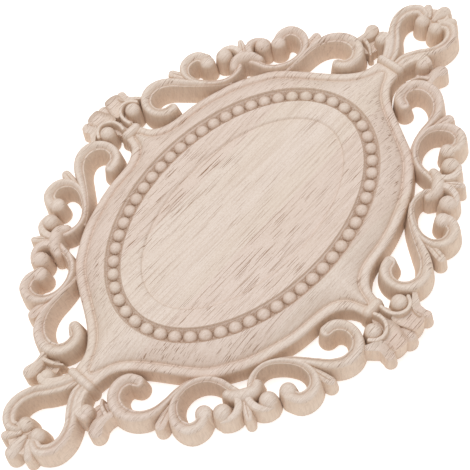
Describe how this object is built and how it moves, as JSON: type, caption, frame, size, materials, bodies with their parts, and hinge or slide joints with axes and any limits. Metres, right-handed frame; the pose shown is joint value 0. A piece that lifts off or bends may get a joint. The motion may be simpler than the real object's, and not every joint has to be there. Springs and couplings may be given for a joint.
{
  "type": "wood applique",
  "caption": "Pierced oval wood applique: a rimmed plate with a bead ring and dished panel, framed by carved scrolls, balls and leaves, flat at the back.",
  "frame": {"origin": "centre of the flat back", "axes": "+X along the length, +Y along the width, +Z out of the carved face"},
  "size_m": [0.2996, 0.1968, 0.0139],
  "materials": {
    "rubber_wood": "unfinished, matt"
  },
  "bodies": {
    "root": {"applique": "rubber_wood"}
  },
  "joints": []
}
